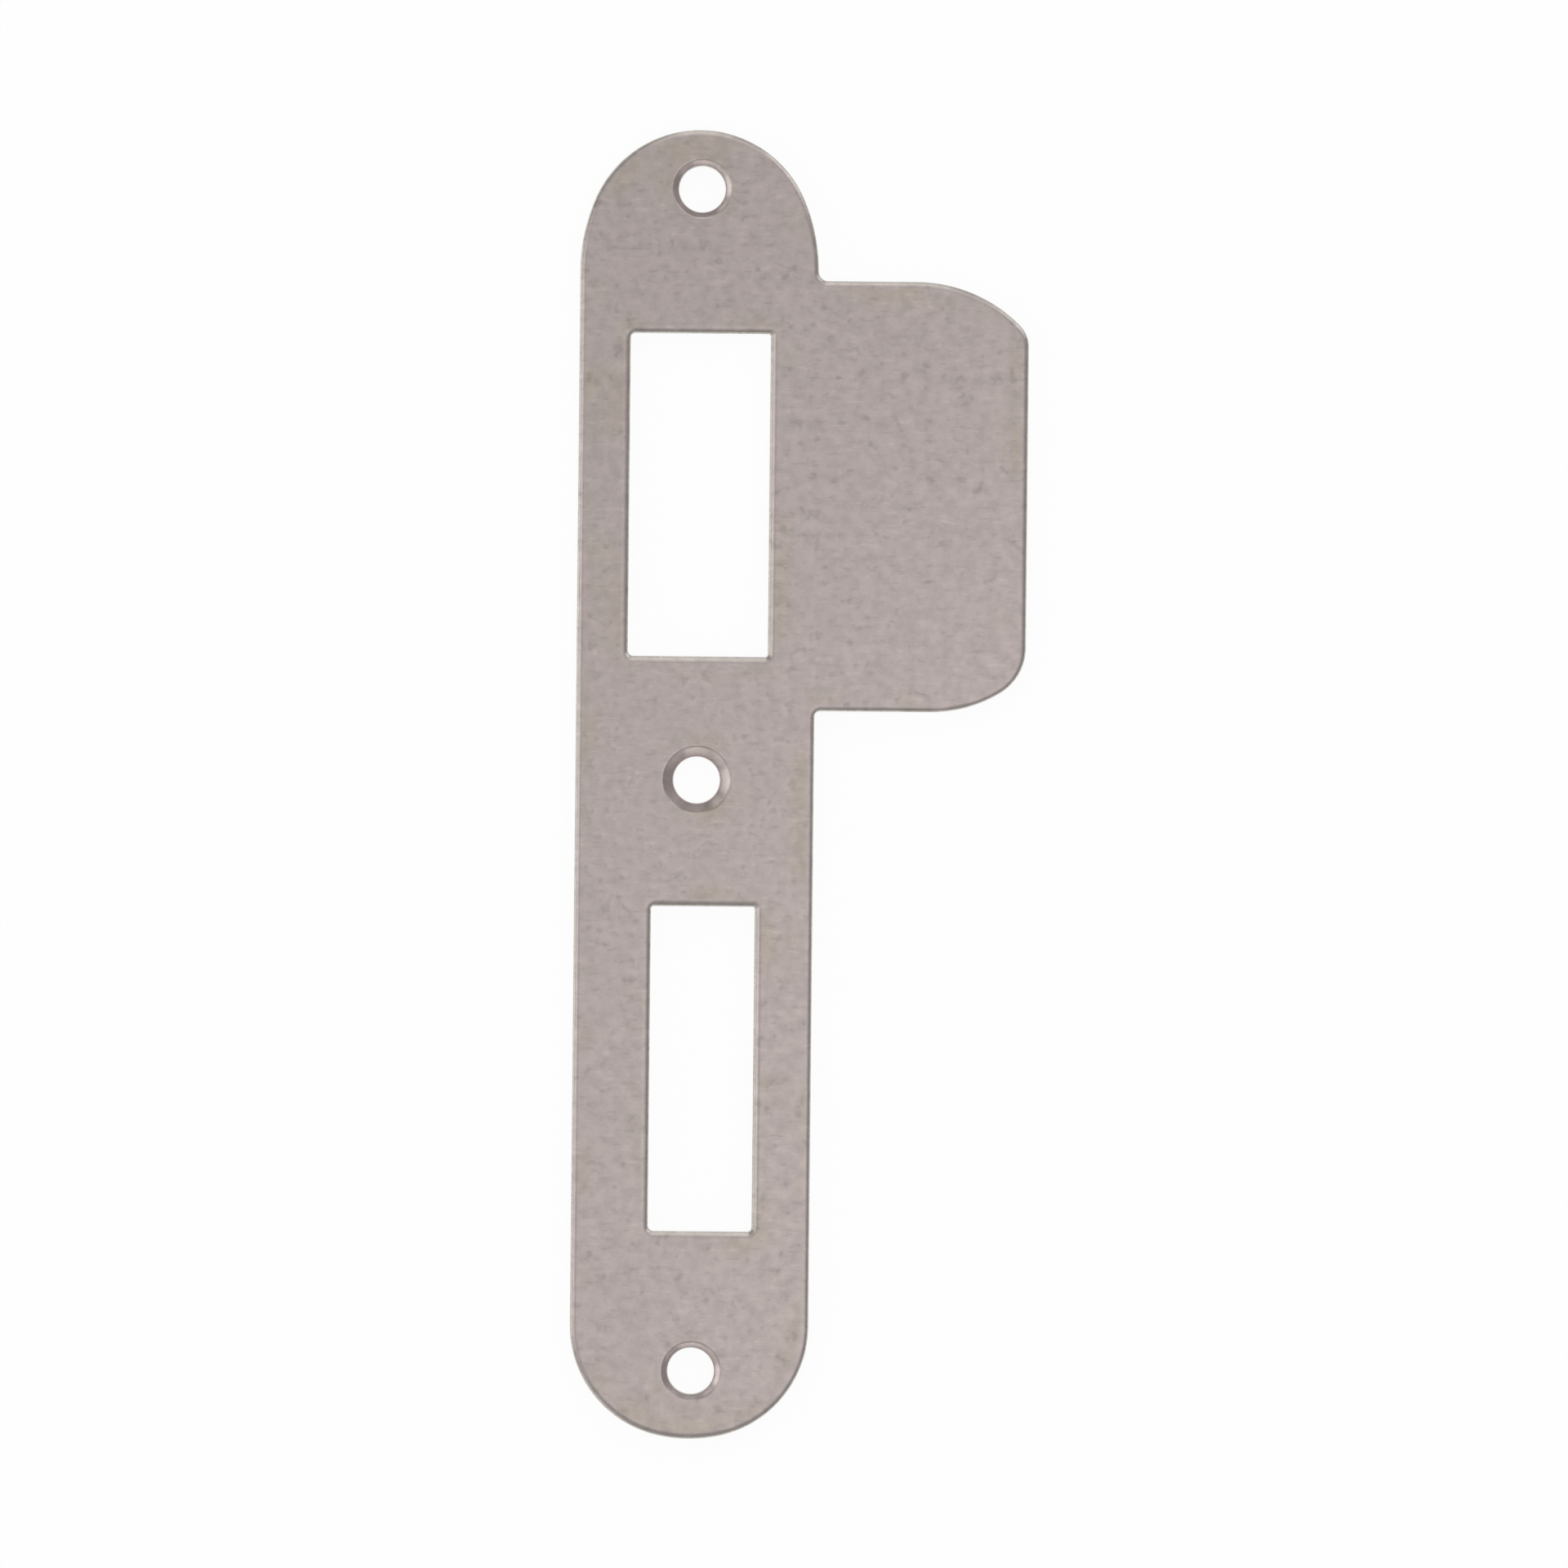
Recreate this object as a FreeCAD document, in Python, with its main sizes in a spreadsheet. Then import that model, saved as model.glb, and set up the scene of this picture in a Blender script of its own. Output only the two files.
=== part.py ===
import FreeCAD, Part
import math
import os
import Sketcher
from FreeCAD import Vector

# Door strike plate, blanked from one sheet of steel. It lies on its back: the back face
# is at z = 0 and the front face, with the countersinks and the rolled edges, looks up.
# The origin is on the middle screw hole's axis. +Y runs up the plate, towards the latch
# opening, and +X towards the lip. Lengths are in millimetres, angles in degrees.
sizes = {
    "thickness": 2.0,
    "strip_width": 25.0,
    "strip_shift": 0.2,  # the strip's centre line lies this far left of the screw line
    "screw_pitch": 62.0,  # from the middle screw hole to each end one
    "top_margin": 6.15,  # from the top screw hole's centre to the top end
    "bottom_margin": 7.1,  # from the bottom screw hole's centre to the bottom end
    "top_stretch": 2.3,  # the top end is this much longer than a half circle
    "top_crown_inset": 0.6,  # its crown's radius is this much less than half the width
    "bottom_squash": 0.65,  # the bottom end is this much shorter than a half circle
    "bottom_crown_excess": 2.8,  # its crown's radius is this much more than half the width
    "lip_reach": 22.1,  # from the strip's right side to the lip's outer edge
    "lip_height": 45.1,
    "upper_sweep_start": 11.7,  # from the lip's outer edge to where its corner begins
    "upper_sweep_radius": 15.2,
    "upper_nose_radius": 3.2,
    "lower_sweep_start": 10.0,
    "lower_sweep_radius": 14.1,
    "lower_nose_radius": 5.6,
    "upper_inner_radius": 1.0,  # where the lip's top edge runs into the strip
    "lower_inner_radius": 0.6,
    "latch_rise": 29.9,  # the latch opening and the lip are centred this far up
    "latch_width": 14.7,
    "latch_height": 33.9,
    "latch_corner_radius": 0.6,
    "bolt_drop": 30.3,  # the bolt opening is centred this far down
    "bolt_shift": 0.8,  # and this far right of the screw line
    "bolt_width": 10.9,
    "bolt_height": 34.1,
    "bolt_corner_radius": 0.6,
    "screw_bore": 4.9,
    "middle_sink_width": 7.1,  # across the middle hole's countersink, at the front face
    "end_sink_width": 6.2,
    "sink_angle": 90.0,
    "edge_roll": 0.45,  # radius of the roll that punch and die leave on the front edges
}
on_place = 1e-4  # a point nearer than this to a plane or line lies on it

doc = FreeCAD.newDocument("DoorStrikePlate")
sheet = doc.addObject("Spreadsheet::Sheet", "Sizes")
for row, (name, value) in enumerate(sizes.items(), start=1):
    sheet.set(f"A{row}", name)
    sheet.set(f"B{row}", str(value))
    sheet.setAlias(f"B{row}", name)
body = doc.addObject("PartDesign::Body", "StrikePlate")
body.Label = "strike_plate"
doc.recompute()

# Places in the outline, as formulas of the sheet's cells, which the sketches follow
half_width = "Sizes.strip_width / 2"
strip_right = f"{half_width} - Sizes.strip_shift"
strip_left = f"-{half_width} - Sizes.strip_shift"
strip_middle = "-Sizes.strip_shift"
top_end = "Sizes.screw_pitch + Sizes.top_margin"
top_side = f"{top_end} - {half_width} - Sizes.top_stretch"  # where the straight sides end
top_crown = f"{half_width} - Sizes.top_crown_inset"
bottom_end = "-Sizes.screw_pitch - Sizes.bottom_margin"
bottom_side = f"{bottom_end} + {half_width} - Sizes.bottom_squash"
bottom_crown = f"{half_width} + Sizes.bottom_crown_excess"
lip_outer = f"{strip_right} + Sizes.lip_reach"
lip_top = "Sizes.latch_rise + Sizes.lip_height / 2"
lip_bottom = "Sizes.latch_rise - Sizes.lip_height / 2"

start, end, centre = 1, 2, 3  # how a sketch numbers the points of a curve
origin = (-1, start)


def worth(formula):
    return float(body.evalExpression(formula))


def add_sketch(name):
    """A sketch on the plane of the plate's back face."""
    sketch = body.newObject("Sketcher::SketchObject", name)
    plane = next(f for f in body.Origin.OriginFeatures if f.Role == "XY_Plane")
    sketch.AttachmentSupport = [(plane, "")]
    sketch.MapMode = "FlatFace"
    return sketch


def line(from_point, to_point):
    return Part.LineSegment(Vector(*from_point, 0), Vector(*to_point, 0))


def arc(middle, radius, from_angle, to_angle):
    circle = Part.Circle(Vector(*middle, 0), Vector(0, 0, 1), radius)
    return Part.ArcOfCircle(circle, math.radians(from_angle), math.radians(to_angle))


def add_outline(sketch, curves):
    """Draws a closed outline, anticlockwise. Its lines are upright or level and meet at
    corners, and an arc is tangent to the curve on each side of it."""
    straight = [isinstance(curve, Part.LineSegment) for curve in curves]
    for index, curve in enumerate(curves):
        sketch.addGeometry(curve, False)
        if straight[index]:
            upright = abs(curve.EndPoint.x - curve.StartPoint.x) < on_place
            sketch.addConstraint(Sketcher.Constraint("Vertical" if upright else "Horizontal", index))
    for index in range(len(curves)):
        after = (index + 1) % len(curves)
        joint = "Coincident" if straight[index] and straight[after] else "Tangent"
        sketch.addConstraint(Sketcher.Constraint(joint, index, end, after, start))


def drive(sketch, kind, place, formula):
    """Adds a dimension that follows the sheet: a curve's radius, or the distance from one
    point to another, each point given as its curve and its number there."""
    index = sketch.addConstraint(Sketcher.Constraint(kind, *place, worth(formula)))
    sketch.setExpression(f"Constraints[{index}]", formula)


def round_end(turn, tip, side, crown):
    """The three arcs of a round end, as first guesses for the sketch: a flank, the crown
    and the other flank. The end turned by 180 degrees is the bottom one."""
    sign = math.cos(math.radians(turn))
    half = worth(half_width)
    middle = worth(strip_middle)
    rise = abs(tip - side)
    flank = (half**2 + rise**2 - 2 * rise * crown) / (2 * (half - crown))
    join = math.degrees(math.acos((half - flank) / (crown - flank)))
    return [
        arc((middle + sign * (half - flank), side), flank, turn, turn + join),
        arc((middle, tip - sign * crown), crown, turn + join, turn + 180 - join),
        arc((middle - sign * (half - flank), side), flank, turn + 180 - join, turn + 180),
    ]


def corner_turn(sweep_start, sweep, nose):
    """How far a lip corner's sweep turns before its nose, in degrees, and how far its
    nose's centre lies from the edge that the sweep leaves."""
    turn = math.asin((sweep_start - nose) / (sweep - nose))
    return math.degrees(turn), sweep - (sweep - nose) * math.cos(turn)


def add_pad(name, sketch):
    feature = body.newObject("PartDesign::Pad", name)
    feature.Profile = sketch
    feature.setExpression("Length", "Sizes.thickness")
    doc.recompute()
    return feature


def add_opening(name, left, right, bottom, top, corner_radius):
    """Punches a rectangle with rounded corners through the sheet."""
    sketch = add_sketch(f"{name}Outline")
    west, east, south, north, radius = (
        worth(formula) for formula in (left, right, bottom, top, corner_radius)
    )
    add_outline(sketch, [
        line((west + radius, south), (east - radius, south)),
        arc((east - radius, south + radius), radius, 270, 360),
        line((east, south + radius), (east, north - radius)),
        arc((east - radius, north - radius), radius, 0, 90),
        line((east - radius, north), (west + radius, north)),
        arc((west + radius, north - radius), radius, 90, 180),
        line((west, north - radius), (west, south + radius)),
        arc((west + radius, south + radius), radius, 180, 270),
    ])
    south_line, east_line, north_line, west_line = 0, 2, 4, 6
    drive(sketch, "DistanceY", (*origin, south_line, start), bottom)
    drive(sketch, "DistanceX", (*origin, east_line, start), right)
    drive(sketch, "DistanceY", (*origin, north_line, start), top)
    drive(sketch, "DistanceX", (*origin, west_line, start), left)
    for corner in (1, 3, 5, 7):
        drive(sketch, "Radius", (corner,), corner_radius)
    feature = body.newObject("PartDesign::Pocket", name)
    feature.Profile = sketch
    feature.Type = "ThroughAll"
    feature.Reversed = True
    doc.recompute()
    return feature


def add_screw_holes(name, heights, sink_width):
    """Countersunk screw holes on the screw line, drilled from the front face."""
    sketch = add_sketch(f"{name}Centres")
    sketch.setExpression("AttachmentOffset.Base.z", "Sizes.thickness")
    for index, height in enumerate(heights):
        centre_point = Vector(0, worth(height), 0)
        sketch.addGeometry(Part.Circle(centre_point, Vector(0, 0, 1), worth("Sizes.screw_bore / 2")), False)
        drive(sketch, "DistanceX", (*origin, index, centre), "0")
        drive(sketch, "DistanceY", (*origin, index, centre), height)
        drive(sketch, "Radius", (index,), "Sizes.screw_bore / 2")
    doc.recompute()
    feature = body.newObject("PartDesign::Hole", name)
    feature.Profile = sketch
    feature.ThreadType = "None"
    feature.DepthType = "ThroughAll"
    feature.HoleCutType = "Countersink"
    feature.HoleCutCustomValues = True
    feature.setExpression("Diameter", "Sizes.screw_bore")
    feature.setExpression("HoleCutDiameter", sink_width)
    feature.setExpression("HoleCutCountersinkAngle", "Sizes.sink_angle")
    doc.recompute()
    return feature


def add_fillet(name, base, edges, radius):
    feature = body.newObject("PartDesign::Fillet", name)
    feature.Base = (base, edges)
    feature.setExpression("Radius", radius)
    doc.recompute()
    return feature


def inner_corner(shape, height):
    """The upright edge where the lip leaves the strip, at this height up the plate."""
    found = []
    for index, edge in enumerate(shape.Edges, start=1):
        box = edge.BoundBox
        upright = box.XLength < on_place and box.YLength < on_place
        if upright and abs(box.YMin - height) < on_place:
            found.append((box.XMin, f"Edge{index}"))
    return min(found)[1]


def front_edges(shape):
    """Every edge of the front face but the round ones of the countersinks."""
    names = []
    for index, edge in enumerate(shape.Edges, start=1):
        in_front = edge.BoundBox.ZMin > worth("Sizes.thickness") - on_place
        if in_front and not edge.isClosed():
            names.append(f"Edge{index}")
    return names


# The strip: two straight sides between two round ends
strip = add_sketch("StripOutline")
low, high = worth(bottom_side), worth(top_side)
add_outline(strip, [
    line((worth(strip_right), low), (worth(strip_right), high)),
    *round_end(0, worth(top_end), high, worth(top_crown)),
    line((worth(strip_left), high), (worth(strip_left), low)),
    *round_end(180, worth(bottom_end), low, worth(bottom_crown)),
])
right_line, top_arc, left_line, bottom_arc = 0, 2, 4, 6
drive(strip, "DistanceX", (*origin, right_line, start), strip_right)
drive(strip, "DistanceX", (*origin, left_line, start), strip_left)
drive(strip, "DistanceY", (*origin, right_line, end), top_side)
drive(strip, "DistanceY", (*origin, left_line, start), top_side)
drive(strip, "DistanceY", (*origin, right_line, start), bottom_side)
drive(strip, "DistanceY", (*origin, left_line, end), bottom_side)
drive(strip, "DistanceX", (*origin, top_arc, centre), strip_middle)
drive(strip, "DistanceX", (*origin, bottom_arc, centre), strip_middle)
drive(strip, "DistanceY", (*origin, top_arc, centre), f"{top_end} - ({top_crown})")
drive(strip, "DistanceY", (*origin, bottom_arc, centre), f"{bottom_end} + {bottom_crown}")
drive(strip, "Radius", (top_arc,), top_crown)
drive(strip, "Radius", (bottom_arc,), bottom_crown)
strip_pad = add_pad("Strip", strip)

# The lip: a flat tongue that starts inside the strip, with a long sweep and a short nose
# at each outer corner
lip = add_sketch("LipOutline")
root, outer, low, high = (worth(f) for f in (strip_middle, lip_outer, lip_bottom, lip_top))
lower_corner = [worth(f"Sizes.lower_{part}") for part in ("sweep_start", "sweep_radius", "nose_radius")]
upper_corner = [worth(f"Sizes.upper_{part}") for part in ("sweep_start", "sweep_radius", "nose_radius")]
lower_turn, lower_depth = corner_turn(*lower_corner)
upper_turn, upper_depth = corner_turn(*upper_corner)
lower_start, lower_sweep, lower_nose = lower_corner
upper_start, upper_sweep, upper_nose = upper_corner
add_outline(lip, [
    line((root, low), (outer - lower_start, low)),
    arc((outer - lower_start, low + lower_sweep), lower_sweep, 270, 270 + lower_turn),
    arc((outer - lower_nose, low + lower_depth), lower_nose, 270 + lower_turn, 360),
    line((outer, low + lower_depth), (outer, high - upper_depth)),
    arc((outer - upper_nose, high - upper_depth), upper_nose, 0, 90 - upper_turn),
    arc((outer - upper_start, high - upper_sweep), upper_sweep, 90 - upper_turn, 90),
    line((outer - upper_start, high), (root, high)),
    line((root, high), (root, low)),
])
low_line, low_sweep_arc, low_nose_arc, outer_line, high_nose_arc, high_sweep_arc, high_line = range(7)
drive(lip, "DistanceX", (*origin, low_line, start), strip_middle)
drive(lip, "DistanceY", (*origin, low_line, start), lip_bottom)
drive(lip, "DistanceX", (*origin, outer_line, start), lip_outer)
drive(lip, "DistanceY", (*origin, high_line, end), lip_top)
drive(lip, "DistanceX", (low_line, end, outer_line, start), "Sizes.lower_sweep_start")
drive(lip, "DistanceX", (high_line, start, outer_line, end), "Sizes.upper_sweep_start")
drive(lip, "Radius", (low_sweep_arc,), "Sizes.lower_sweep_radius")
drive(lip, "Radius", (low_nose_arc,), "Sizes.lower_nose_radius")
drive(lip, "Radius", (high_sweep_arc,), "Sizes.upper_sweep_radius")
drive(lip, "Radius", (high_nose_arc,), "Sizes.upper_nose_radius")
lip_pad = add_pad("Lip", lip)
upper_inner = add_fillet("UpperInnerCorner", lip_pad, [inner_corner(lip_pad.Shape, worth(lip_top))],
                         "Sizes.upper_inner_radius")
lower_inner = add_fillet("LowerInnerCorner", upper_inner,
                         [inner_corner(upper_inner.Shape, worth(lip_bottom))],
                         "Sizes.lower_inner_radius")

# The openings that the latch and the bolt go into
latch = add_opening(
    "LatchOpening",
    "-Sizes.latch_width / 2",
    "Sizes.latch_width / 2",
    "Sizes.latch_rise - Sizes.latch_height / 2",
    "Sizes.latch_rise + Sizes.latch_height / 2",
    "Sizes.latch_corner_radius",
)
bolt = add_opening(
    "BoltOpening",
    "Sizes.bolt_shift - Sizes.bolt_width / 2",
    "Sizes.bolt_shift + Sizes.bolt_width / 2",
    "-Sizes.bolt_drop - Sizes.bolt_height / 2",
    "-Sizes.bolt_drop + Sizes.bolt_height / 2",
    "Sizes.bolt_corner_radius",
)

# The screw holes, and then the rolled front edges all round the blank and the openings
middle_hole = add_screw_holes("MiddleScrewHole", ["0"], "Sizes.middle_sink_width")
end_holes = add_screw_holes("EndScrewHoles", ["Sizes.screw_pitch", "-Sizes.screw_pitch"],
                            "Sizes.end_sink_width")
rolled = add_fillet("EdgeRoll", end_holes, front_edges(end_holes.Shape), "Sizes.edge_roll")

# Nothing is written unless each cut has taken metal away and every feature has built
steps = [lower_inner, latch, bolt, middle_hole, end_holes, rolled]
for before, after in zip(steps, steps[1:]):
    if after.Shape.Volume >= before.Shape.Volume:
        raise RuntimeError(f"{after.Name} takes nothing from the plate")
for item in doc.Objects:
    if "Invalid" in item.State or "Error" in item.State:
        raise RuntimeError(f"{item.Name} did not build: {item.State}")
if body.Shape.isNull() or not body.Shape.isValid() or len(body.Shape.Solids) != 1:
    raise RuntimeError("the plate is not one valid solid")

os.makedirs("parts", exist_ok=True)
body.Shape.exportStep(f"parts/{body.Label}.step")
box = body.Shape.optimalBoundingBox(False)
print(f"{body.Label}: {box.XLength:.2f} x {box.YLength:.2f} x {box.ZLength:.2f} mm,"
      f" {body.Shape.Volume:.1f} mm3, {len(body.Shape.Faces)} faces")
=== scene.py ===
import math

import bpy
import numpy as np
from mathutils import Matrix, Vector
from mathutils.geometry import delaunay_2d_cdt


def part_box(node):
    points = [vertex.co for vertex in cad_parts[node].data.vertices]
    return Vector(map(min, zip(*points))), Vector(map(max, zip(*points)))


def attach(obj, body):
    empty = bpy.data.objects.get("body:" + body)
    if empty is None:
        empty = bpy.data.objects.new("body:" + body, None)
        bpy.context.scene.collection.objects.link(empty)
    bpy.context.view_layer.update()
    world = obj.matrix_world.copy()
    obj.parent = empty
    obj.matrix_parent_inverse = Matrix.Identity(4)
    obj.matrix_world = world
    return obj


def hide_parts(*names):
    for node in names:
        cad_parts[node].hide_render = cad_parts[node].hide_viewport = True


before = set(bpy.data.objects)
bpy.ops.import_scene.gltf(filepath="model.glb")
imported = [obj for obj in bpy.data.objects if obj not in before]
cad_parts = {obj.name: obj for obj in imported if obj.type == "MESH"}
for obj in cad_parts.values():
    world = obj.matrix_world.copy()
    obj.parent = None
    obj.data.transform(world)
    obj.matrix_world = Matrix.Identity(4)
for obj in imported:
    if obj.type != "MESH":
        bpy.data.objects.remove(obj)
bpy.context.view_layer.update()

# The door strike plate: one stamping of zinc-plated sheet steel, lying on its back. The
# front face looks up (+Z), the lip points to +X and the latch opening is towards +Y.
# Lengths are in millimetres until a mesh is made, angles in degrees.
mm = 0.001
print("frame loaded:", ", ".join(sorted(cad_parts)))

# The stamping. Its reach on each side and its thickness come from the frame's own box.
plateSize = {
    "screwPitch": 62.0,  # from the middle screw hole to each end one
    "stripRight": 12.3,  # the strip's right side, from the line of the screws
    "topStretch": 2.3,  # the top end is this much longer than a half circle
    "topCrownInset": 0.6,  # its crown's radius is this much less than half the strip
    "bottomSquash": 0.65,  # the bottom end is this much shorter than a half circle
    "bottomCrownExcess": 2.8,
    "lipMiddle": 29.9,  # the lip and the latch opening are centred this far up
    "lipHeight": 45.1,
    "upperSweepStart": 11.7,  # from the lip's outer edge to where its corner begins
    "upperSweepRadius": 15.2,
    "upperNoseRadius": 3.2,
    "lowerSweepStart": 10.0,
    "lowerSweepRadius": 14.1,
    "lowerNoseRadius": 5.6,
    "upperInnerRadius": 1.0,
    "lowerInnerRadius": 0.6,
    "latchWidth": 14.7,
    "latchHeight": 33.9,
    "latchCorners": (0.5, 0.3, 0.3, 0.6),  # radii, clockwise from the upper left
    "boltMiddle": (0.8, -30.3),
    "boltWidth": 10.9,
    "boltHeight": 34.1,
    "boltCorners": (0.35, 0.25, 0.5, 0.6),
    "screwBore": 4.9,
    "middleSinkWidth": 7.1,
    "endSinkWidth": 6.2,
}

# The edges that punch and die leave, from the front face down: a rolled rim, a narrow flat
# that tumbling wore on its corner, a band that the tool has burnished, a torn band that
# leans back a little, and a rounded back edge.
edgeSize = {
    "blankRoll": 0.66,  # width of the roll round the blank
    "openingRoll": 0.78,  # and round the latch and bolt openings
    "rollSlope": 36.0,  # the roll's fall in degrees at its outer side
    "matShare": 0.3,  # the part of the roll, from the face, that keeps the face's finish
    "rollGloss": 0.55,  # how far the roll's outer side is burnished
    "wornSlope": 52.0,  # the worn flat's fall in degrees
    "wornWidth": 0.1,
    "wornRound": 0.05,  # radius of the rounds at the flat's two sides
    "burnishEnd": 1.15,  # height where the burnished band gives way to the torn one
    "burnishWander": 0.07,  # how far that line wanders up and down
    "tornLean": 0.06,
    "tornRoughness": 0.012,
    "tornGrain": 1.2,  # mm along the edge from one bump to the next
    "bumpLimit": 0.5,  # a bump takes back at most this part of the band's lean
    "wanderLength": 6.0,
    "wanderReach": 0.5,  # how far above and below the line its wandering is felt
    "backRound": 0.12,
    "sinkSlope": 41.5,  # the cone's fall in degrees, a little less than its nominal 45
    "sinkLipRound": 0.3,  # round at the countersink's outer edge
    "sinkThroatRound": 0.45,  # round where its cone runs into the bore
    "roundTurned": 0.5,  # how far those two rounds have the cone's finish
    "rollSteps": 10,  # faces down the roll
    "wornSteps": 4,  # down each round at the worn flat
    "tornSteps": 6,  # down the torn band
    "lipSteps": 4,  # down the countersink's lip, its cone and its throat
    "coneSteps": 6,
    "throatSteps": 6,
    "backSteps": 3,  # and round the back edge
    "guard": 0.05,  # narrow faces beside each round, which keep the flats flat
    "faceRing": 1.25,  # width of the flat ring that joins each sheared edge to the faces
    "sinkRing": 0.62,
}

# How finely the surfaces are cut up
meshSize = {
    "step": 0.36,  # along an edge
    "turn": 5.0,  # along an arc, in degrees
    "faceStep": 1.3,  # between points inside the faces
    "faceGap": 0.7,  # from those points to an edge's ring
    "mergeReach": 1e-6,  # two points that are nearer than this count as one
    "block": 500,  # points whose distances are worked out at a time
    "seed": 11,
}

lowCorner, highCorner = (np.array(corner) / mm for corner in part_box("strike_plate"))
stripLeft, bottomEnd, backFace = lowCorner
lipRight, topEnd, thickness = highCorner
halfStrip = (plateSize["stripRight"] - stripLeft) / 2
stripMiddle = plateSize["stripRight"] - halfStrip


# Points from start towards end at even steps, and the side normals: the direction of
# travel turned a quarter to the right, which points away from the metal.
def sampleLine(start, end):
    start, end = np.array(start, float), np.array(end, float)
    length = math.dist(start, end)
    steps = max(1, math.ceil(length / meshSize["step"]))
    share = np.arange(steps)[:, None] / steps
    along = (end - start) / length
    return start + share * (end - start), np.tile([along[1], -along[0]], (steps, 1))


# Points at centre + radius * (cos a, sin a) for even steps of the angle a. The normal
# is the radial direction, and it is turned round on an arc that runs clockwise.
def sampleArc(centre, radius, fromAngle, toAngle):
    sweep = math.radians(toAngle - fromAngle)
    steps = max(math.ceil(abs(sweep) * radius / meshSize["step"]),
                math.ceil(abs(toAngle - fromAngle) / meshSize["turn"]))
    angle = math.radians(fromAngle) + sweep * np.arange(steps) / steps
    radial = np.stack([np.cos(angle), np.sin(angle)], axis=1)
    return np.array(centre) + radius * radial, radial * np.sign(sweep)


def joinPath(parts):
    points, normals = zip(*parts)
    return np.concatenate(points), np.concatenate(normals)


# An end of the strip is three tangent arcs: a flank, the crown and the other flank. With h
# half the strip's width, r the rise and c the crown's radius, the flank's radius is
# (h^2 + r^2 - 2 r c) / (2 (h - c)).
def flankRadius(rise, crown):
    return (halfStrip**2 + rise**2 - 2 * rise * crown) / (2 * (halfStrip - crown))


# The three arcs of the top end, turned by 0 degrees, or of the bottom end, turned by 180.
# They join where both have the same normal, whose cosine is (h - flank) / (c - flank), and
# the first may start later than its quarter point, at fromAngle.
def roundEnd(turn, tip, rise, crown, fromAngle=0.0):
    sign = 1 if turn == 0 else -1
    flank = flankRadius(rise, crown)
    join = math.degrees(math.acos((halfStrip - flank) / (crown - flank)))
    side = tip - sign * rise
    offset = sign * (halfStrip - flank)
    return [
        sampleArc((stripMiddle + offset, side), flank, turn + fromAngle, turn + join),
        sampleArc((stripMiddle, tip - sign * crown), crown, turn + join, turn + 180 - join),
        sampleArc((stripMiddle - offset, side), flank, turn + 180 - join, turn + 180),
    ]


# How far a lip corner's long arc turns before its short one, and how deep the two are:
# sin(turn) = (start - nose) / (sweep - nose), depth = sweep - (sweep - nose) cos(turn).
def lipCorner(sweepStart, sweepRadius, noseRadius):
    turn = math.asin((sweepStart - noseRadius) / (sweepRadius - noseRadius))
    return math.degrees(turn), sweepRadius - (sweepRadius - noseRadius) * math.cos(turn)


# The outline of the blank, anticlockwise from the strip's lower right.
def blankPath():
    size = plateSize
    right = size["stripRight"]
    lipTop = size["lipMiddle"] + size["lipHeight"] / 2
    lipBottom = size["lipMiddle"] - size["lipHeight"] / 2
    topRise = halfStrip + size["topStretch"]
    bottomRise = halfStrip - size["bottomSquash"]
    topSide, bottomSide = topEnd - topRise, bottomEnd + bottomRise
    lowStart, lowSweep, lowNose = (size["lowerSweepStart"], size["lowerSweepRadius"],
                                   size["lowerNoseRadius"])
    highStart, highSweep, highNose = (size["upperSweepStart"], size["upperSweepRadius"],
                                      size["upperNoseRadius"])
    lowTurn, lowDepth = lipCorner(lowStart, lowSweep, lowNose)
    highTurn, highDepth = lipCorner(highStart, highSweep, highNose)
    lowInner, highInner = size["lowerInnerRadius"], size["upperInnerRadius"]
    # The upper inner corner touches the top end's flank, just past the straight side, so
    # the two arcs' centres lie as far apart as their radii together.
    topCrown = halfStrip - size["topCrownInset"]
    flank = flankRadius(topRise, topCrown)
    cornerTurn = math.asin((lipTop + highInner - topSide) / (flank + highInner))
    cornerX = right - flank + (flank + highInner) * math.cos(cornerTurn)
    cornerTurn = math.degrees(cornerTurn)
    return joinPath([
        sampleLine((right, bottomSide), (right, lipBottom - lowInner)),
        sampleArc((right + lowInner, lipBottom - lowInner), lowInner, 180, 90),
        sampleLine((right + lowInner, lipBottom), (lipRight - lowStart, lipBottom)),
        sampleArc((lipRight - lowStart, lipBottom + lowSweep), lowSweep, 270, 270 + lowTurn),
        sampleArc((lipRight - lowNose, lipBottom + lowDepth), lowNose, 270 + lowTurn, 360),
        sampleLine((lipRight, lipBottom + lowDepth), (lipRight, lipTop - highDepth)),
        sampleArc((lipRight - highNose, lipTop - highDepth), highNose, 0, 90 - highTurn),
        sampleArc((lipRight - highStart, lipTop - highSweep), highSweep, 90 - highTurn, 90),
        sampleLine((lipRight - highStart, lipTop), (cornerX, lipTop)),
        sampleArc((cornerX, lipTop + highInner), highInner, 270, 180 + cornerTurn),
        *roundEnd(0, topEnd, topRise, topCrown, cornerTurn),
        sampleLine((stripLeft, topSide), (stripLeft, bottomSide)),
        *roundEnd(180, bottomEnd, bottomRise, halfStrip + size["bottomCrownExcess"]),
    ])


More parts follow.
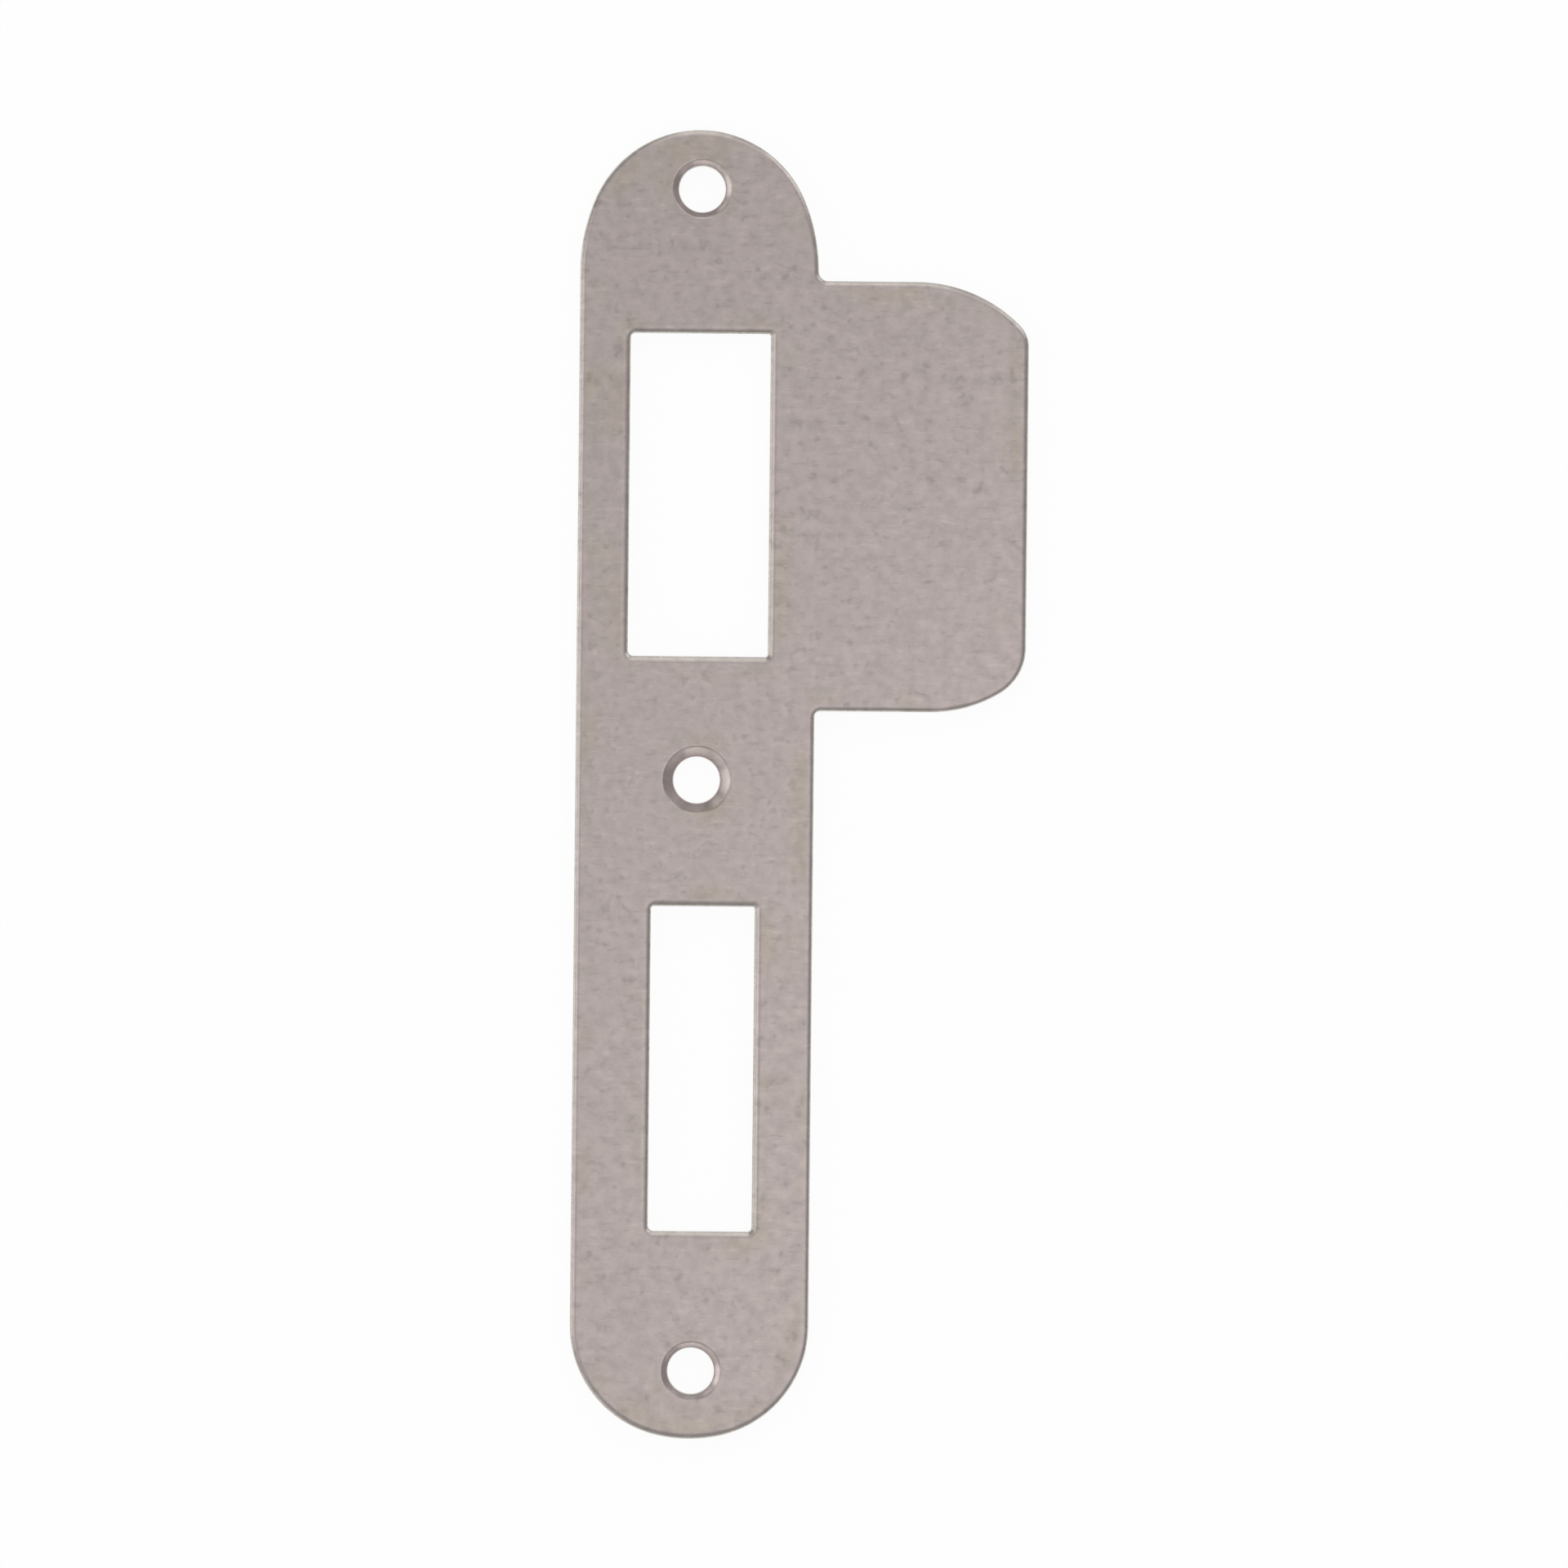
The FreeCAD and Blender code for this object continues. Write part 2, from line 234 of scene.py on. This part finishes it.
# A rectangle with rounded corners, clockwise, so that the normals point into it. The radii
# run clockwise too, from the upper left.
def openingPath(middle, width, height, radii):
    upLeft, upRight, lowRight, lowLeft = radii
    west, east = middle[0] - width / 2, middle[0] + width / 2
    south, north = middle[1] - height / 2, middle[1] + height / 2
    return joinPath([
        sampleLine((west, south + lowLeft), (west, north - upLeft)),
        sampleArc((west + upLeft, north - upLeft), upLeft, 180, 90),
        sampleLine((west + upLeft, north), (east - upRight, north)),
        sampleArc((east - upRight, north - upRight), upRight, 90, 0),
        sampleLine((east, north - upRight), (east, south + lowRight)),
        sampleArc((east - lowRight, south + lowRight), lowRight, 0, -90),
        sampleLine((east - lowRight, south), (west + lowLeft, south)),
        sampleArc((west + lowLeft, south + lowLeft), lowLeft, -90, -180),
    ])


def screwPath(height):
    return sampleArc((0.0, height), plateSize["screwBore"] / 2, 360, 0)


# Rows of an edge's section: (distance into the metal, height) and beside each point how
# much of it is torn, burnished or turned cone.
def finishRows(points, torn=0.0, burnished=0.0, cone=0.0):
    points = np.array(points, float)
    shares = np.empty((len(points), 3))
    shares[:, 0], shares[:, 1], shares[:, 2] = torn, burnished, cone
    return np.hstack([points, shares])


# Points down a section along an arc that turns from one slope to another, in degrees: it
# runs out by radius * (sin t - sin first) and falls by radius * (cos first - cos t).
def turnDown(start, radius, firstSlope, lastSlope, steps):
    slope = np.radians(np.linspace(firstSlope, lastSlope, steps + 1))
    out = radius * (np.sin(slope) - np.sin(slope[0]))
    fall = radius * (np.cos(slope[0]) - np.cos(slope))
    return np.column_stack([start[0] - out, start[1] - fall])


# The section of a punched edge. The roll is an arc that falls to the slope s. The corner
# where it met the wall is worn to a narrow flat with an arc of radius q at both its sides.
# With w the whole width and f the flat's, the roll's radius is
# (w - f - q (1 - sin s)) / sin s. The roll passes from the face's finish to the burnished
# one on its way out, and the torn band leans back in a straight line.
def shearedSection(width):
    size = edgeSize
    guard, ring = size["guard"], size["faceRing"]
    lean, back = size["tornLean"], size["backRound"]
    slope, wornSlope, tight = size["rollSlope"], size["wornSlope"], size["wornRound"]
    sine = math.sin(math.radians(slope))
    radius = (width - size["wornWidth"] - tight * (1 - sine)) / sine
    roll = turnDown((width, thickness), radius, 0, slope, size["rollSteps"])
    bend = turnDown(roll[-1], tight, slope, wornSlope, size["wornSteps"])
    wornFall = size["wornWidth"] * math.tan(math.radians(wornSlope))
    worn = bend[-1] - (size["wornWidth"], wornFall)
    corner = turnDown(worn, tight, wornSlope, 90, size["wornSteps"])
    along = np.linspace(0, 1, len(roll))
    rollGloss = np.interp(along, [size["matShare"], 1], [0, size["rollGloss"]])
    torn = np.linspace(size["burnishEnd"] - guard, back + guard, size["tornSteps"] + 1)
    tornAcross = lean * (size["burnishEnd"] - torn) / (size["burnishEnd"] - back)
    turn = np.linspace(0, math.pi / 2, size["backSteps"] + 1)
    backCurve = np.column_stack([lean + back * (1 - np.cos(turn)), back * (1 - np.sin(turn))])
    return np.vstack([
        finishRows([(ring, thickness), (width + guard, thickness)]),
        finishRows(roll, burnished=rollGloss),
        finishRows(bend[1:], burnished=1.0),
        finishRows(corner, burnished=1.0),
        finishRows([(0, corner[-1, 1] - guard), (0, size["burnishEnd"])], burnished=1.0),
        finishRows(np.column_stack([tornAcross, torn]), torn=1.0),
        finishRows(backCurve),
        finishRows([(lean + back + guard, backFace), (ring, backFace)]),
    ])


# Points of an arc of this radius that is tangent to two straight runs of a section, which
# meet at the corner and leave it in the directions before and after. From the arc's centre
# the points are (first sin(turn - a) + last sin(a)) / sin(turn), for a from 0 to turn.
def roundJoin(corner, before, after, radius, steps):
    corner = np.array(corner, float)
    before, after = (np.array(side) / np.hypot(*side) for side in (before, after))
    half = math.acos(before @ after) / 2
    bisector = (before + after) / np.hypot(*(before + after))
    middle = corner + bisector * radius / math.sin(half)
    first = corner + before * radius / math.tan(half) - middle
    last = corner + after * radius / math.tan(half) - middle
    turn = math.pi - 2 * half
    angle = np.linspace(0, turn, steps + 1)[:, None]
    return middle + (first * np.sin(turn - angle) + last * np.sin(angle)) / math.sin(turn)


# The section of a countersunk hole: the front face, a cone with a small round at its lip
# and a larger one at its throat, the bore, and a broken back edge.
def sinkSection(sinkWidth):
    size = edgeSize
    guard, ring = size["guard"], size["sinkRing"]
    reach = (sinkWidth - plateSize["screwBore"]) / 2
    fall = math.tan(math.radians(size["sinkSlope"]))
    lip = roundJoin((reach, thickness), (1, 0), (-1, -fall),
                    size["sinkLipRound"], size["lipSteps"])
    throat = roundJoin((0, thickness - reach * fall), (1, fall), (0, -1),
                       size["sinkThroatRound"], size["throatSteps"])
    broken = roundJoin((0, backFace), (0, 1), (1, 0), size["backRound"], size["backSteps"])
    share = np.linspace(0, 1, size["coneSteps"] + 1)[1:-1, None]
    cone = (1 - share) * lip[-1] + share * throat[0]
    return np.vstack([
        finishRows([(reach + ring, thickness), (lip[0][0] + guard, thickness)]),
        finishRows(lip, cone=size["roundTurned"]),
        finishRows(cone, cone=1.0),
        finishRows(throat, cone=size["roundTurned"]),
        finishRows([(0, throat[-1][1] - guard), (0, broken[0][1] + guard)], burnished=1.0),
        finishRows(broken),
        finishRows([(broken[-1][0] + guard, backFace), (reach + ring, backFace)]),
    ])


# White noise on a grid that closes on itself along the edge, smoothed by damping its waves:
# each is scaled by exp(-(wave number / limit)^2). Along the edge the limit is the number of
# steps in it times their size over the length, and down the section the number of rows.
def smoothNoise(rng, steps, rows, length):
    wave = np.fft.rfft2(rng.normal(size=(rows, steps)))
    limit = max(steps * meshSize["step"] / length, 1)
    along = np.exp(-(np.arange(wave.shape[1]) / limit) ** 2)
    down = np.exp(-np.fft.fftfreq(rows) ** 2)
    noise = np.fft.irfft2(wave * down[:, None] * along, s=(rows, steps)).T
    return noise / noise.std()


# The surface point at (i, j) is path point i, moved against its normal by the section's
# distance j, at the section's height j. The torn band is pushed in and out by noise, and
# the line where it starts wanders along the edge. Neither goes past the outline.
def carrySection(path, section, rng):
    size = edgeSize
    points, normals = path
    across, height, torn, burnished = section.T[:4]
    steps, rows = len(points), len(section)
    rough = size["tornRoughness"] * smoothNoise(rng, steps, rows, size["tornGrain"])
    wander = size["burnishWander"] * smoothNoise(rng, steps, 1, size["wanderLength"])
    reach = across + torn * np.maximum(rough, -size["bumpLimit"] * across)
    # Only a section with a torn band has that line, and only its wall follows it
    nearLine = np.clip(1 - abs(height - size["burnishEnd"]) / size["wanderReach"], 0, 1)
    wall = (torn > 0) | ((burnished == 1) & torn.any())
    surface = np.empty((steps, rows, 3))
    surface[:, :, :2] = points[:, None, :] - normals[:, None, :] * reach[:, :, None]
    surface[:, :, 2] = height + wander * nearLine * wall
    return surface


# Quads over a grid that closes along the path, facing away from the metal.
def gridQuads(steps, rows, first):
    down = np.arange(rows - 1)
    start = first + np.arange(steps)[:, None] * rows
    here, after = start + down, np.roll(start, -1, axis=0) + down
    return np.stack([here, here + 1, after + 1, after], axis=-1).reshape(-1, 4)


# True where a ray towards +X crosses the loops an odd number of times. It crosses a side
# that spans the point's height and passes that height to the point's right.
def insideLoops(points, loops):
    crossings = np.zeros(len(points), int)
    for loop in loops:
        x0, y0 = loop.T
        x1, y1 = np.roll(loop, -1, axis=0).T
        px, py = points[:, 0, None], points[:, 1, None]
        spans = (y0 <= py) != (y1 <= py)
        rise = np.where(y1 == y0, 1.0, y1 - y0)
        crossings += (spans & (px < x0 + (py - y0) * (x1 - x0) / rise)).sum(axis=1)
    return crossings % 2 == 1


# The distance from each point to the nearest of the others, a block at a time.
def distanceTo(points, others):
    blocks = np.array_split(points, max(1, len(points) // meshSize["block"]))
    nearest = [np.sqrt(((block[:, None] - others[None]) ** 2).sum(-1).min(1))
               for block in blocks]
    return np.concatenate(nearest)


# A lattice of equilateral triangles over the plate, whose rows are step * sin 60 apart, kept
# inside the metal and clear of the rings.
def fillPoints(rings):
    step = meshSize["faceStep"]
    rowHeight = step * math.sin(math.radians(60))
    across = np.arange(stripLeft, lipRight, step)
    up = np.arange(bottomEnd, topEnd, rowHeight)
    x, y = np.meshgrid(across, up)
    x = x + (np.arange(len(up)) % 2)[:, None] * step / 2
    lattice = np.stack([x.ravel(), y.ravel()], axis=1)
    lattice = lattice[insideLoops(lattice, rings)]
    return lattice[distanceTo(lattice, np.concatenate(rings)) > meshSize["faceGap"]]


# Triangles between the rings, through the lattice: the Delaunay triangulation that keeps
# every ring's edges, without the triangles whose middles lie outside the metal.
def fillFace(rings):
    lattice = fillPoints(rings)
    points = np.concatenate([*rings, lattice])
    edges, first = [], 0
    for ring in rings:
        index = np.arange(len(ring))
        edges.append(first + np.stack([index, (index + 1) % len(ring)], axis=1))
        first += len(ring)
    wholeHull = 0  # of the kinds of outcome, the one with every triangle
    outcome = delaunay_2d_cdt(points.tolist(), np.concatenate(edges).tolist(), [], wholeHull,
                              meshSize["mergeReach"])
    # The outcome numbers its points anew and gives the old numbers of each
    triangles, oldNumbers = np.array(outcome[2]), outcome[3]
    triangles = np.array([numbers[0] for numbers in oldNumbers])[triangles]
    return lattice, triangles[insideLoops(points[triangles].mean(axis=1), rings)]


# An object at the origin from points in mm and faces, with a value at each point for every
# attribute.
def newPiece(name, vertices, faces, attributes):
    mesh = bpy.data.meshes.new(name)
    mesh.from_pydata((vertices * mm).tolist(), [], faces)
    mesh.polygons.foreach_set("use_smooth", np.ones(len(faces), bool))
    for label, values in attributes.items():
        attribute = mesh.attributes.new(label, "FLOAT", "POINT")
        attribute.data.foreach_set("value", values.astype(np.float32))
    mesh.update()
    piece = bpy.data.objects.new(name, mesh)
    bpy.context.scene.collection.objects.link(piece)
    return piece


# Every edge as its path and its section: the blank's, the two openings' and the holes'.
def plateEdges():
    size = plateSize
    punched = shearedSection(edgeSize["openingRoll"])
    endSink = sinkSection(size["endSinkWidth"])
    return [
        (blankPath(), shearedSection(edgeSize["blankRoll"])),
        (openingPath((0.0, size["lipMiddle"]), size["latchWidth"], size["latchHeight"],
                     size["latchCorners"]), punched),
        (openingPath(size["boltMiddle"], size["boltWidth"], size["boltHeight"],
                     size["boltCorners"]), punched),
        (screwPath(0.0), sinkSection(size["middleSinkWidth"])),
        (screwPath(size["screwPitch"]), endSink),
        (screwPath(-size["screwPitch"]), endSink),
    ]


# One closed mesh: the surface of every edge, from its ring in the front face to its ring in
# the back face, and the two faces, which are the same triangles between those rings.
def makePlate():
    rng = np.random.default_rng(meshSize["seed"])
    edges = plateEdges()
    surfaces = [carrySection(path, section, rng) for path, section in edges]
    rings = [surface[:, 0, :2] for surface in surfaces]
    lattice, triangles = fillFace(rings)

    vertices, quads, shares, distance = [], [], [], []
    frontIndex, backIndex, first = [], [], 0
    for surface, (path, section) in zip(surfaces, edges):
        steps, rows = surface.shape[:2]
        vertices.append(surface.reshape(-1, 3))
        quads.append(gridQuads(steps, rows, first))
        frontIndex.append(first + np.arange(steps) * rows)
        backIndex.append(first + np.arange(steps) * rows + rows - 1)
        shares.append(np.tile(section[:, 2:], (steps, 1)))
        distance.append(np.tile(section[:, 0], steps))
        first += steps * rows
    toEdge = distanceTo(lattice, np.concatenate([path[0] for path, section in edges]))
    for height, index in ((thickness, frontIndex), (backFace, backIndex)):
        vertices.append(np.column_stack([lattice, np.full(len(lattice), height)]))
        index.append(first + np.arange(len(lattice)))
        shares.append(np.zeros((len(lattice), 3)))
        distance.append(toEdge)
        first += len(lattice)
    frontIndex, backIndex = np.concatenate(frontIndex), np.concatenate(backIndex)
    faces = [*np.concatenate(quads).tolist(), *frontIndex[triangles].tolist(),
             *backIndex[triangles[:, ::-1]].tolist()]
    torn, burnished, cone = np.concatenate(shares).T
    plate = newPiece("strikePlate", np.concatenate(vertices), faces, {
        "torn": torn,
        "burnished": burnished,
        "cone": cone,
        "edgeDistance": np.concatenate(distance),
    })
    print("plate:", len(plate.data.vertices), "points and", len(faces), "faces")
    return plate


plate = makePlate()
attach(plate, "root")
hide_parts("strike_plate")


# Materials

# An sRGB colour as linear RGBA: c / 12.92 below 0.04045, else ((c + 0.055) / 1.055)^2.4.
def hexColour(code):
    share = np.array([int(code[i:i + 2], 16) for i in (1, 3, 5)]) / 255
    linear = np.where(share <= 0.04045, share / 12.92, ((share + 0.055) / 1.055) ** 2.4)
    return (*linear.tolist(), 1.0)


# Adds a node. A setting is one of its properties. An input is a socket, named without its
# spaces or as i and its number, and takes a value or another node's output.
def addNode(tree, kind, settings=None, **inputs):
    node = tree.nodes.new(kind)
    for name, value in (settings or {}).items():
        setattr(node, name, value)
    enabled = [socket for socket in reversed(node.inputs) if socket.enabled]
    sockets = {socket.name.replace(" ", ""): socket for socket in enabled}
    for name, value in inputs.items():
        numbered = name[0] == "i" and name[1:].isdigit()
        socket = node.inputs[int(name[1:])] if numbered else sockets[name]
        if isinstance(value, bpy.types.NodeSocket):
            tree.links.new(value, socket)
        else:
            socket.default_value = value
    return node


def newMaterial(name):
    material = bpy.data.materials.new(name)
    material.use_nodes = True
    tree = material.node_tree
    tree.nodes.clear()
    return material, tree


# Zinc-plated mild steel, barrel tumbled before plating: a warm, matt grey with a fine
# mottle, small soft pits that show darker, short rolling marks across the strip, some darker
# and some lighter, the lighter ones partly painted glints, and a faint straw tint where the
# passivation gathers by edges. Where the tool has rubbed the edges it is smoother, its grey
# is less warm, and its burnished band is made lighter all over by painted sheen.
zincFinish = {
    "face": "#B3A8A5",
    "tint": "#ABA28F",
    "burnished": "#AEA8A2",
    "tintShare": 0.42,
    "tintStart": 0.4,  # mm in from an edge, where the tint starts, is full and ends
    "tintFull": 1.1,
    "tintEnd": 3.0,
    "relief": 0.01,  # mm between the grain's dark and light
    "reliefStrength": 0.35,
    "burnishedRoughness": 0.27,
    "coneRoughness": 0.31,
    "tornRoughness": 0.58,
    "glossFull": 0.5,  # burnished share from which the roll looks as smooth as the band
    "bandStart": 0.55,  # burnished share from which the tool's scores and the painted sheen show
    "layerFall": 0.6,  # each finer layer of a pattern has this part of the last one's depth
}

# The finish's patterns: mm from patch to patch in X, Y and Z, the part of the noise's range
# that is used, what its two ends give, and how many finer layers are added. Those of the
# colour multiply it, tintPatches is a share, and gloss is a roughness.
zincPatterns = {
    "mottle": ((1.15, 1.15, 1.15), (0.28, 0.72), (0.895, 1.095), 3.0),
    "pits": ((1.2, 1.2, 1.2), (0.635, 0.735), (1.0, 0.87), 1.0),
    "darkMarks": ((1.9, 0.5, 0.5), (0.62, 0.70), (1.0, 0.91), 1.0),
    # lighter rolling marks, partly real and partly painted glints
    "lightMarks": ((1.9, 0.5, 0.5), (0.30, 0.38), (1.085, 1.0), 1.0),
    "tintPatches": ((6.5, 6.5, 6.5), (0.48, 0.64), (0.0, 1.0), 1.0),
    "gloss": ((2.4, 2.4, 2.4), (0.30, 0.70), (0.375, 0.425), 2.0),
    "scores": ((0.16, 0.16, 5.0), (0.30, 0.70), (1.08, 1.42), 1.0),  # down the burnished band: scores, and painted sheen that makes the band lighter
    "crumbs": ((0.32, 0.32, 0.32), (0.30, 0.70), (0.74, 1.06), 2.0),  # on the torn band
}


# Noise at a place in metres, stretched to the pattern's size and remapped to what it gives
def addPattern(tree, place, name):
    size, reach, results, detail = zincPatterns[name]
    scaled = addNode(tree, "ShaderNodeMapping", Vector=place,
                     Scale=[1 / (side * mm) for side in size])
    noise = addNode(tree, "ShaderNodeTexNoise", Vector=scaled.outputs["Vector"], Scale=1.0,
                    Detail=detail, Roughness=zincFinish["layerFall"])
    return addNode(tree, "ShaderNodeMapRange", Value=noise.outputs["Fac"], FromMin=reach[0],
                   FromMax=reach[1], ToMin=results[0], ToMax=results[1]).outputs["Result"]


# The colour is the face's, tinted by edges, or the burnished one, and is scaled by the grain,
# which is the product of the patterns, painted glints and painted sheen among them. The
# scores with their painted sheen, and the crumbs, count only on their own bands.
def zincSteel():
    material, tree = newMaterial("zincPlatedSteel")
    finish = zincFinish
    place = addNode(tree, "ShaderNodeTexCoord").outputs["Object"]
    patterns = {name: addPattern(tree, place, name) for name in zincPatterns}
    shares = {}
    for name in ("torn", "burnished", "cone", "edgeDistance"):
        attribute = addNode(tree, "ShaderNodeAttribute", {"attribute_name": name})
        shares[name] = attribute.outputs["Fac"]

    # The tool's scores on the burnished band, with painted sheen that makes the whole band
    # lighter
    scoresAndSheenOnBand = addNode(tree, "ShaderNodeMapRange", Value=shares["burnished"],
                     FromMin=finish["bandStart"], ToMin=1.0, ToMax=patterns["scores"])
    onTear = addNode(tree, "ShaderNodeMapRange", Value=shares["torn"], ToMin=1.0,
                     ToMax=patterns["crumbs"])
    # The grain carries painted glints on the lighter marks and painted sheen on the burnished
    # band
    grain = patterns["mottle"]
    for layer in (patterns["pits"], patterns["darkMarks"], patterns["lightMarks"],
                  scoresAndSheenOnBand.outputs["Result"], onTear.outputs["Result"]):
        grain = addNode(tree, "ShaderNodeMath", {"operation": "MULTIPLY"}, i0=grain,
                        i1=layer).outputs["Value"]

    tinted = addNode(tree, "ShaderNodeMapRange", Value=shares["edgeDistance"],
                     FromMin=finish["tintStart"], FromMax=finish["tintFull"],
                     ToMax=finish["tintShare"]).outputs["Result"]
    tinted = addNode(tree, "ShaderNodeMapRange", Value=shares["edgeDistance"],
                     FromMin=finish["tintFull"], FromMax=finish["tintEnd"], ToMin=tinted,
                     ToMax=0.0).outputs["Result"]
    tinted = addNode(tree, "ShaderNodeMath", {"operation": "MULTIPLY"}, i0=tinted,
                     i1=patterns["tintPatches"]).outputs["Value"]
    metal = addNode(tree, "ShaderNodeMix", {"data_type": "RGBA"}, Factor=tinted,
                    A=hexColour(finish["face"]), B=hexColour(finish["tint"]))
    smooth = addNode(tree, "ShaderNodeMapRange", Value=shares["burnished"],
                     FromMax=finish["glossFull"])
    metal = addNode(tree, "ShaderNodeMix", {"data_type": "RGBA"},
                    Factor=smooth.outputs["Result"], A=metal.outputs["Result"],
                    B=hexColour(finish["burnished"]))
    colour = addNode(tree, "ShaderNodeVectorMath", {"operation": "SCALE"},
                     i0=metal.outputs["Result"], Scale=grain)

    roughness = patterns["gloss"]
    for name, full in (("burnished", finish["glossFull"]), ("cone", 1.0), ("torn", 1.0)):
        roughness = addNode(tree, "ShaderNodeMapRange", Value=shares[name], FromMax=full,
                            ToMin=roughness, ToMax=finish[name + "Roughness"]).outputs["Result"]
    relief = addNode(tree, "ShaderNodeBump", Strength=finish["reliefStrength"],
                     Distance=finish["relief"] * mm, Height=grain)
    shader = addNode(tree, "ShaderNodeBsdfPrincipled", BaseColor=colour.outputs["Vector"],
                     Metallic=1.0, Roughness=roughness, Normal=relief.outputs["Normal"])
    addNode(tree, "ShaderNodeOutputMaterial", Surface=shader.outputs["BSDF"])
    return material


plate.data.materials.append(zincSteel())
print("materials: zinc-plated steel")


# The studio: a white floor under soft lamps, and the camera straight above
studio = {
    "floorReach": 6000.0,
    "floorDrop": 0.02,  # keeps the paper and the plate's back from being one surface
    "floorColour": "#FCFCFC",
    "white": "#FFFFFF",  # of the floor's own glow and of the surround
    "floorGlow": 0.94,  # how much of the floor's white is its own where it is seen
    "surroundStrength": 0.48,
}
# Name, azimuth and elevation of its place, distance and size in mm, and radiance. The first
# two light the face, more towards its bottom. The other boxes show in the rims, and the
# strips close to the floor show in the countersinks.
lamps = [
    ("overheadBox", 315.0, 88.0, 1100.0, (450.0, 450.0), 0.50),
    ("nearBox", 325.0, 69.0, 400.0, (280.0, 280.0), 0.75),
    ("leftBox", 180.0, 50.0, 1000.0, (500.0, 400.0), 1.50),
    ("leftLowBox", 180.0, 22.0, 1000.0, (500.0, 160.0), 1.70),
    ("upperHighBox", 90.0, 62.0, 1000.0, (500.0, 250.0), 0.60),
    ("upperBox", 90.0, 41.0, 1000.0, (500.0, 600.0), 1.05),
    ("upperLowBox", 90.0, 20.0, 1000.0, (500.0, 140.0), 1.25),
    ("upperRightBox", 45.0, 30.0, 1000.0, (500.0, 500.0), 1.35),
    ("lowerLeftBox", 225.0, 22.0, 1000.0, (500.0, 400.0), 0.62),
    ("upperLeftStrip", 135.0, 9.0, 1000.0, (450.0, 220.0), 1.05),
    ("leftStrip", 180.0, 7.0, 1000.0, (900.0, 200.0), 2.15),
    ("lowerLeftStrip", 225.0, 7.0, 1000.0, (700.0, 200.0), 0.85),
    ("lowerStrip", 270.0, 7.0, 1000.0, (900.0, 200.0), 1.65),
    ("lowerRightStrip", 315.0, 7.0, 1000.0, (600.0, 200.0), 0.53),
]


# Matt white paper, pressed from wood pulp, whose fibres scatter light evenly. Camera, glossy
# and transmission rays see it mostly as plain white, and the rest shows the plate's shadow.
def addFloor():
    reach, low = studio["floorReach"] * mm, (backFace - studio["floorDrop"]) * mm
    corners = [(-reach, -reach, low), (reach, -reach, low),
               (reach, reach, low), (-reach, reach, low)]
    mesh = bpy.data.meshes.new("floor")
    mesh.from_pydata(corners, [], [(0, 1, 2, 3)])
    floor = bpy.data.objects.new("floor", mesh)
    bpy.context.scene.collection.objects.link(floor)
    material, tree = newMaterial("whitePaper")
    rays = addNode(tree, "ShaderNodeLightPath").outputs
    seen = addNode(tree, "ShaderNodeMath", {"operation": "MAXIMUM"}, i0=rays["Is Camera Ray"],
                   i1=rays["Is Glossy Ray"])
    seen = addNode(tree, "ShaderNodeMath", {"operation": "MAXIMUM"}, i0=seen.outputs["Value"],
                   i1=rays["Is Transmission Ray"])
    share = addNode(tree, "ShaderNodeMath", {"operation": "MULTIPLY"}, i0=seen.outputs["Value"],
                    i1=studio["floorGlow"])
    paper = addNode(tree, "ShaderNodeBsdfDiffuse", Color=hexColour(studio["floorColour"]))
    white = addNode(tree, "ShaderNodeEmission", Color=hexColour(studio["white"]), Strength=1.0)
    both = addNode(tree, "ShaderNodeMixShader", Fac=share.outputs["Value"],
                   i1=paper.outputs["BSDF"], i2=white.outputs["Emission"])
    addNode(tree, "ShaderNodeOutputMaterial", Surface=both.outputs["Shader"])
    mesh.materials.append(material)


# A rectangular lamp that looks at the plate. Its power is pi * radiance * area.
def addLamp(name, azimuth, elevation, distance, size, radiance):
    turn, rise = math.radians(azimuth), math.radians(elevation)
    direction = Vector((math.cos(turn) * math.cos(rise), math.sin(turn) * math.cos(rise),
                        math.sin(rise)))
    light = bpy.data.lights.new(name, "AREA")
    light.shape = "RECTANGLE"
    light.size, light.size_y = size[0] * mm, size[1] * mm
    light.energy = math.pi * radiance * light.size * light.size_y
    lamp = bpy.data.objects.new(name, light)
    lamp.location = direction * distance * mm
    lamp.rotation_euler = direction.to_track_quat("Z", "Y").to_euler()
    lamp.visible_camera = False
    bpy.context.scene.collection.objects.link(lamp)


# An even light from all round
def addSurround():
    world = bpy.data.worlds.new("surround")
    bpy.context.scene.world = world
    world.use_nodes = True
    tree = world.node_tree
    tree.nodes.clear()
    glow = addNode(tree, "ShaderNodeBackground", Color=hexColour(studio["white"]),
                   Strength=studio["surroundStrength"])
    addNode(tree, "ShaderNodeOutputWorld", Surface=glow.outputs["Background"])


# The photo shows 164.4 mm from side to side at the front face, from straight above
view = {
    "photoWidth": 1920,
    "pixelsPerMm": 11.68,
    "screwHolePixel": (852.75, 955.06),  # the middle screw hole in the photo
    "roll": 0.578,  # degrees that the plate leans right in the photo
    "distance": 1000.0,
    "sensor": 36.0,
}


# The picture's middle, in mm to the right and up of the middle screw hole, turns with the
# camera. The lens is sensor * distance / (photo width / pixels per mm).
def addCamera():
    roll = math.radians(view["roll"])
    half = view["photoWidth"] / 2
    right = (half - view["screwHolePixel"][0]) / view["pixelsPerMm"]
    up = (view["screwHolePixel"][1] - half) / view["pixelsPerMm"]
    middle = Matrix.Rotation(roll, 2) @ Vector((right, up))
    data = bpy.data.cameras.new("overheadCamera")
    data.sensor_width = view["sensor"]
    data.lens = view["sensor"] * view["distance"] * view["pixelsPerMm"] / view["photoWidth"]
    camera = bpy.data.objects.new("overheadCamera", data)
    camera.location = Vector((middle.x, middle.y, thickness + view["distance"])) * mm
    camera.rotation_euler = (0, 0, roll)
    bpy.context.scene.collection.objects.link(camera)
    bpy.context.scene.camera = camera


addFloor()
for lamp in lamps:
    addLamp(*lamp)
addSurround()
addCamera()
bpy.context.scene.view_settings.view_transform = "Standard"
print("studio: floor,", len(lamps), "lamps, surround and camera")
